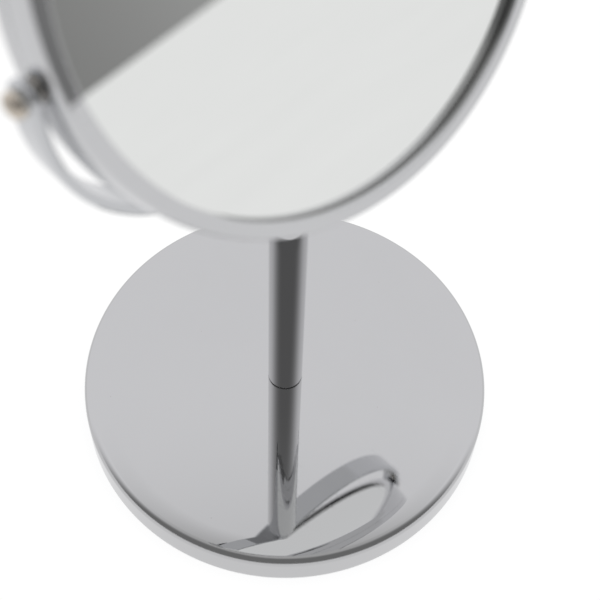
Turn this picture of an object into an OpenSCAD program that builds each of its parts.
// Countertop mirror: a double-sided round mirror that tips in a bent strip yoke,
// on a tube pole and a weighted disc base. Millimetres, +Z up, the front faces -Y,
// origin at the centre of the base's underside. The tilt axis runs along X.

/* [Base] */
// Diameter of the disc base
base_d = 150; // [130:1:180]
// Height of the base over everything, pad included
base_h = 14.5; // [14:0.5:22]
// Wall of the pressed base cover
cover_t = 0.8; // [0.6:0.1:1.0]
// Radius of the rounded shoulder between top and side
shoulder_r = 3; // [2:0.5:4]
// Width of the lightly crowned band inside the shoulder
crown_w = 6; // [3:1:10]
// Fall of the crowned band
crown_drop = 0.22; // [0.1:0.02:0.4]
// Thickness of the non-slip pad
pad_t = 1.8; // [1.2:0.1:1.8]

/* [Pole] */
// Outer diameter of the pole tube
pole_d = 12.7; // [12:0.1:14]
// Wall of the pole tube
pole_t = 1; // [0.8:0.1:1.2]

/* [Yoke] */
// Height of the tilt axis above the table
pivot_z = 247; // [235:1:270]
// Outer radius of the yoke's bend
yoke_r = 85; // [85:0.5:88]
// Width of the yoke strip
strip_w = 9.9; // [9:0.1:12]
// Thickness of the yoke strip
strip_t = 3; // [2.5:0.25:3]
// Straight length of each yoke leg between the bend and the tilt axis
leg_l = 3.5; // [3:0.5:8]

/* [Mirror] */
// Outer diameter of the mirror frame
frame_d = 161.2; // [160.8:0.1:161.2]
// Diameter of the visible glass
glass_visible_d = 151; // [148:0.5:151]
// Height of the front bezel's face above the mirror's middle plane
front_h = 10; // [9.6:0.1:10.4]
// Height of the rear bezel's face above the mirror's middle plane
rear_h = 8.2; // [8:0.1:8.6]
// Height of each glass's outer face above the mirror's middle plane
glass_z = 7.05; // [7:0.05:7.2]
// Thickness of each glass
glass_t = 3; // [2:0.5:3]
// Radius of curvature of the magnifying glass
bend_r = 1200; // [1200:50:2000]
// Tilt of the front glass upwards at rest
rest_tilt = 26.4; // [0:0.1:45]

/* [Pivots] */
// Diameter of the pivot screw's shank
pivot_d = 3.9; // [3.5:0.1:4.0]
// Diameter of the pivot screw's domed head
knob_d = 7; // [6:0.5:9]
// Height of the pivot screw's domed head
knob_h = 3.2; // [2.5:0.1:4]

/* [Hidden] */
$fn = 96;
fine_fn = 180; // facets of the large rounds
gap = 0.03;    // clearance between stacked pieces
fit = 0.02;    // clearance of snug fits
sides = [-1, 1]; // left (-X), right (+X)

base_r = base_d / 2;
pole_r = pole_d / 2;
pole_in = pole_r - pole_t;
foot_z = base_h + 0.4; // underside of the tube
yoke_in = yoke_r - strip_t;
yoke_cz = pivot_z - leg_l; // centre of the yoke's bend
yoke_bottom = yoke_cz - yoke_r;
strip_top = yoke_bottom + strip_t;
frame_r = frame_d / 2;
skirt_in = frame_r - 0.8; // inside of the bezels' side walls
pivot_r = pivot_d / 2;
pivot_loose_r = pivot_r + 0.1;

plug_colour = [0.70, 0.58, 0.34];
washer_colour = [0.70, 0.70, 0.72];
bezel_colour = [0.76, 0.76, 0.78];
foam_colour = [0.85, 0.85, 0.83];

// ---- helpers ----

module disc(radius, z0, z1) {
    translate([0, 0, z0]) cylinder(r = radius, h = z1 - z0);
}

module ring(r_out, r_in, z0, z1) {
    difference() {
        disc(r_out, z0, z1);
        disc(r_in, z0 - 1, z1 + 1);
    }
}

// Turns local Z outwards along X, on the given side
module outwards(side) {
    rotate([0, 90 * side, 0]) children();
}

// Puts children on the tilt axis, local Z outwards from the mirror's centre
module on_axis(side) {
    translate([0, 0, pivot_z]) outwards(side) children();
}

// Puts children in the mirror's frame: local Z out of the front glass, local X on the tilt axis
module in_mirror() {
    translate([0, 0, pivot_z]) rotate([90 - rest_tilt, 0, 0]) children();
}

function reversed(points) = [for (i = [len(points) - 1 : -1 : 0]) points[i]];

// ---- base ----

cover_bottom = 0.5;
shoulder_cr = base_r - shoulder_r; // radius and height of the shoulder's centre
shoulder_cz = base_h - crown_drop - shoulder_r;
shoulder_start = 86; // angle where the shoulder meets the crown
crown_steps = 8;
shoulder_steps = 12;
bolt_r = 2.97;
bolt_hole_r = 3.3;
recess_r = 13;
recess_z = 9; // ceiling of the recess under the weight
washer_z = recess_z - 1.2;
lock_z = recess_z - 2.8; // top of the bolt's head
weight_step_z = pad_t + 8.2;
weight_top = base_h - cover_t - crown_drop - 0.1;

function crown_pts(inset) = [for (i = [0 : crown_steps])
    let (u = i / crown_steps)
    [shoulder_cr - crown_w + u * crown_w, base_h - inset - crown_drop * u * u]];
function shoulder_pts(inset) = [for (i = [1 : shoulder_steps])
    let (a = shoulder_start * (1 - i / shoulder_steps))
    [shoulder_cr, shoulder_cz] + (shoulder_r - inset) * [cos(a), sin(a)]];

// Half section of the cover's skin, from the centre to the shoulder's foot, drawn in by inset
function skin_pts(inset) =
    concat([[0, base_h - inset]], crown_pts(inset), shoulder_pts(inset));

module base_cover() {
    color([0.80, 0.80, 0.81]) difference() {
        rotate_extrude($fn = fine_fn) polygon(concat(
            skin_pts(0),
            [[base_r, cover_bottom], [base_r - cover_t, cover_bottom]],
            reversed(skin_pts(cover_t))));
        disc(bolt_hole_r, base_h - 3, base_h + 2);
    }
}

module base_weight() {
    color([0.28, 0.28, 0.29]) difference() {
        union() {
            disc(base_r - cover_t - 0.25, pad_t + 0.1, weight_step_z + 0.1, $fn = fine_fn);
            disc(shoulder_cr - 1.2, weight_step_z, weight_top, $fn = fine_fn);
        }
        disc(recess_r, -1, recess_z);
        disc(bolt_hole_r, 0, 30);
    }
}

module base_pad() {
    color([0.12, 0.12, 0.13]) disc(base_r - 2.2, 0, pad_t, $fn = fine_fn);
}

module base_bolt() {
    color([0.62, 0.62, 0.64]) {
        translate([0, 0, lock_z - 4]) cylinder(d = 11.55, h = 4, $fn = 6);
        disc(bolt_r, lock_z - 0.1, lock_z + 21.9);
    }
}

module base_washer() {
    color(washer_colour) ring(9, 3.2, washer_z, recess_z - gap);
}

// Split on one side
module base_lock_washer() {
    split_w = 0.9;
    color([0.55, 0.55, 0.57]) difference() {
        ring(5.2, 3.15, lock_z + gap, washer_z - gap);
        rotate([0, 0, 30]) translate([0, -split_w / 2, 0]) cube([8, split_w, 12]);
    }
}

// ---- pole ----

foot_plug_l = 20;
foot_bore_l = 16;
top_plug_l = 18;
top_bore_l = 15;

module pole_foot_ring() {
    color([0.30, 0.30, 0.31]) ring(pole_r - 0.12, bolt_hole_r, base_h + 0.01, foot_z - 0.01);
}

module pole_tube() {
    color([0.82, 0.82, 0.83]) ring(pole_r, pole_in, foot_z, yoke_bottom - gap);
}

// Bored from below for the base bolt
module pole_foot_plug() {
    color(plug_colour) difference() {
        disc(pole_in - fit, foot_z + fit, foot_z + fit + foot_plug_l);
        disc(bolt_r + gap, 0, foot_z + foot_bore_l);
    }
}

// Bored from above for the yoke screw
module pole_top_plug() {
    color(plug_colour) difference() {
        disc(pole_in - fit, yoke_bottom - top_plug_l, yoke_bottom - 2 * gap);
        disc(2, yoke_bottom - top_bore_l, yoke_bottom + 5);
    }
}

// ---- yoke ----

bush_r = 2.8; // hole for the bush in the strip
yoke_hole_r = 2.2;
yoke_screw_r = 1.96;
yoke_head_z = strip_top + 0.87;
socket_d = 2.9;
// Half section of the yoke screw's head: radius, height
yoke_head_pts = [[0, 0], [3.7, 0], [3.7, 0.5], [3.3, 1.3], [2.4, 1.9], [1.6, 2.1], [0, 2.1]];

// Half-circle bend with a straight leg and a round end on each side
module yoke_strip() {
    color([0.78, 0.79, 0.82]) difference() {
        union() {
            translate([0, 0, yoke_cz]) rotate([90, 180, 0])
                rotate_extrude(angle = 180, $fn = fine_fn)
                    translate([yoke_in, -strip_w / 2]) square([strip_t, strip_w]);
            for (side = sides) {
                translate([side * (yoke_in + strip_t / 2) - strip_t / 2, -strip_w / 2, yoke_cz])
                    cube([strip_t, strip_w, leg_l]);
                on_axis(side) disc(strip_w / 2, yoke_in, yoke_r);
            }
        }
        for (side = sides) on_axis(side) disc(bush_r, yoke_in - 2, yoke_r + 2);
        disc(yoke_hole_r, yoke_bottom - 2, strip_top + 2);
    }
}

module yoke_washer() {
    color(washer_colour) ring(4.5, 2.15, strip_top + 0.15, strip_top + 0.85);
}

module yoke_screw() {
    color([0.74, 0.74, 0.76]) difference() {
        union() {
            translate([0, 0, yoke_head_z]) rotate_extrude() polygon(yoke_head_pts);
            disc(yoke_screw_r, yoke_bottom - 12, strip_top + 1.5);
        }
        translate([0, 0, strip_top + 1.7]) cylinder(d = socket_d, h = 3, $fn = 6);
    }
}

// ---- pivots: heights are distances out along the tilt axis ----

knob_r = knob_d / 2;
knob_side_h = 1.1; // straight side below the dome
knob_chamfer = 0.3;
spring_t = 0.2;
insert_r = 2.95;
insert_end = frame_r - 4.2;

// Flanged on the outside of the yoke
module pivot_bush(side) {
    color([0.90, 0.90, 0.88]) on_axis(side) difference() {
        union() {
            disc(bush_r - fit, yoke_in - 0.04, yoke_r + 0.2);
            disc(3.3, yoke_r + 0.02, yoke_r + 0.52);
        }
        disc(pivot_r + 0.05, yoke_in - 3, yoke_in + 7);
    }
}

module friction_washer(side) {
    color([0.88, 0.88, 0.86]) on_axis(side)
        ring(3.6, pivot_loose_r, yoke_in - 0.52, yoke_in - 0.08);
}

// Coned disc spring, wide end towards the spacer
module spring_washer(side) {
    bore_r = pivot_r + 0.15;
    rim_r = 3.4;
    bore_z = yoke_in - 0.55;
    rim_z = yoke_in - 0.77;
    color([0.60, 0.60, 0.62]) on_axis(side) rotate_extrude() polygon([
        [bore_r, bore_z - spring_t], [bore_r, bore_z], [rim_r, rim_z], [rim_r, rim_z - spring_t]]);
}

// Bears on the hoop and passes through the bezels' side walls
module pivot_spacer(side) {
    color([0.80, 0.80, 0.82]) on_axis(side) ring(3.2, pivot_loose_r, skirt_in, yoke_in - 1);
}

module pivot_screw(side) {
    color([0.80, 0.79, 0.78]) on_axis(side) {
        translate([0, 0, yoke_r + 0.58]) rotate_extrude() polygon(concat(
            [[0, 0], [knob_r - knob_chamfer, 0], [knob_r, knob_chamfer], [knob_r, knob_side_h]],
            [for (a = [10 : 10 : 90])
                [knob_r * cos(a), knob_side_h + (knob_h - knob_side_h) * sin(a)]]));
        disc(pivot_r, frame_r - 11, yoke_r + 0.7);
    }
}

module pivot_insert(side) {
    color([0.72, 0.58, 0.33]) on_axis(side)
        ring(insert_r, pivot_r + fit, frame_r - 12, insert_end);
}

// ---- mirror head: heights are from the mirror's middle plane ----

lip_r = glass_visible_d / 2;
lip_round = 0.45; // easing of the lip's inner edge, and its middle point
lip_mid = 0.13;
glass_r = frame_r - 1.3;
rear_glass_r = frame_r - 2;
glass_back = glass_z - glass_t;
shim = 0.05; // clearance behind the glass and beside the board
// Half axes of the bezels' elliptical outer edges: radial, axial
front_edge = [1.2, 4.5];
rear_edge = [2.4, 4.8];
bezel_foot = 0.04;
hoop_in = frame_r - 4;
hoop_top = glass_back - 0.1;
block = [10, 11, 6.8]; // blocks on the hoop that hold the inserts
block_z = -3.2;
board_r = 65;
board_z = 1; // half the board's thickness
foam_r = 64;
bend_steps = 16;

// Half section of a bezel: side wall, elliptical edge, flat face, and a lip proud of the glass.
// A seat radius inside the side wall thickens the wall around the glass.
function bezel_pts(height, edge, seat_r) = concat(
    [[skirt_in, bezel_foot], [frame_r, bezel_foot], [frame_r, height - edge[1]]],
    [for (a = [9 : 9 : 90])
        [frame_r - edge[0] + edge[0] * cos(a), height - edge[1] + edge[1] * sin(a)]],
    [[lip_r + lip_round, height], [lip_r + lip_mid, height - lip_mid],
        [lip_r, height - lip_round], [lip_r, glass_z + gap], [seat_r, glass_z + gap]],
    seat_r < skirt_in ? [[seat_r, glass_back - shim], [skirt_in, glass_back - shim]] : []);

module bezel(height, edge, seat_r) {
    difference() {
        rotate_extrude($fn = fine_fn) polygon(bezel_pts(height, edge, seat_r));
        for (side = sides) outwards(side) disc(3.3, frame_r - 3, frame_r + 3);
    }
}

module front_bezel() {
    color(bezel_colour) in_mirror() bezel(front_h, front_edge, skirt_in);
}

module rear_bezel() {
    color(bezel_colour) in_mirror() rotate([180, 0, 0])
        bezel(rear_h, rear_edge, rear_glass_r + 0.4);
}

// Height of the bent glass's surface above its rim at a radius
function bend(radius) = sqrt(bend_r * bend_r - radius * radius)
    - sqrt(bend_r * bend_r - rear_glass_r * rear_glass_r);

function bent_pts(rim_z) = [for (i = [0 : bend_steps])
    let (radius = rear_glass_r * i / bend_steps) [radius, rim_z + bend(radius)]];

module rim_hoop() {
    color([0.20, 0.20, 0.21]) in_mirror() difference() {
        union() {
            ring(skirt_in - gap, hoop_in, bend(hoop_in) - hoop_top, hoop_top);
            for (side = sides)
                translate([side * (frame_r - 8) - block[0] / 2, -block[1] / 2, block_z])
                    cube(block);
        }
        for (side = sides) outwards(side) {
            disc(insert_r + fit, frame_r - 16, insert_end);
            disc(pivot_loose_r, frame_r - 5, frame_r + 3);
        }
    }
}

module front_glass() {
    color([0.83, 0.84, 0.83]) in_mirror() disc(glass_r, glass_back, glass_z, $fn = fine_fn);
}

module rear_glass() {
    color([0.83, 0.84, 0.84]) in_mirror() rotate_extrude($fn = fine_fn)
        polygon(concat(bent_pts(-glass_z), reversed(bent_pts(-glass_back))));
}

module front_foam_ring() {
    color(foam_colour) in_mirror() ring(foam_r, 20, board_z + shim, glass_back - shim);
}

module rear_foam_ring() {
    color(foam_colour) in_mirror() ring(foam_r, 50, -2.35, -board_z - shim);
}

module core_board() {
    color([0.50, 0.36, 0.22]) in_mirror() disc(board_r, -board_z, board_z);
}

base_cover();
base_weight();
base_pad();
base_bolt();
base_washer();
base_lock_washer();
pole_foot_ring();
pole_tube();
pole_foot_plug();
pole_top_plug();
yoke_strip();
yoke_screw();
yoke_washer();
pivot_bush(-1);  // pivot_bush_left
pivot_bush(1);  // pivot_bush_right
friction_washer(-1);  // friction_washer_left
friction_washer(1);  // friction_washer_right
pivot_screw(-1);  // pivot_screw_left
pivot_screw(1);  // pivot_screw_right
pivot_spacer(-1);  // pivot_spacer_left
pivot_spacer(1);  // pivot_spacer_right
spring_washer(-1);  // spring_washer_left
spring_washer(1);  // spring_washer_right
pivot_insert(-1);  // pivot_insert_left
pivot_insert(1);  // pivot_insert_right
rim_hoop();
front_bezel();
rear_bezel();
front_glass();
rear_glass();
front_foam_ring();
rear_foam_ring();
core_board();
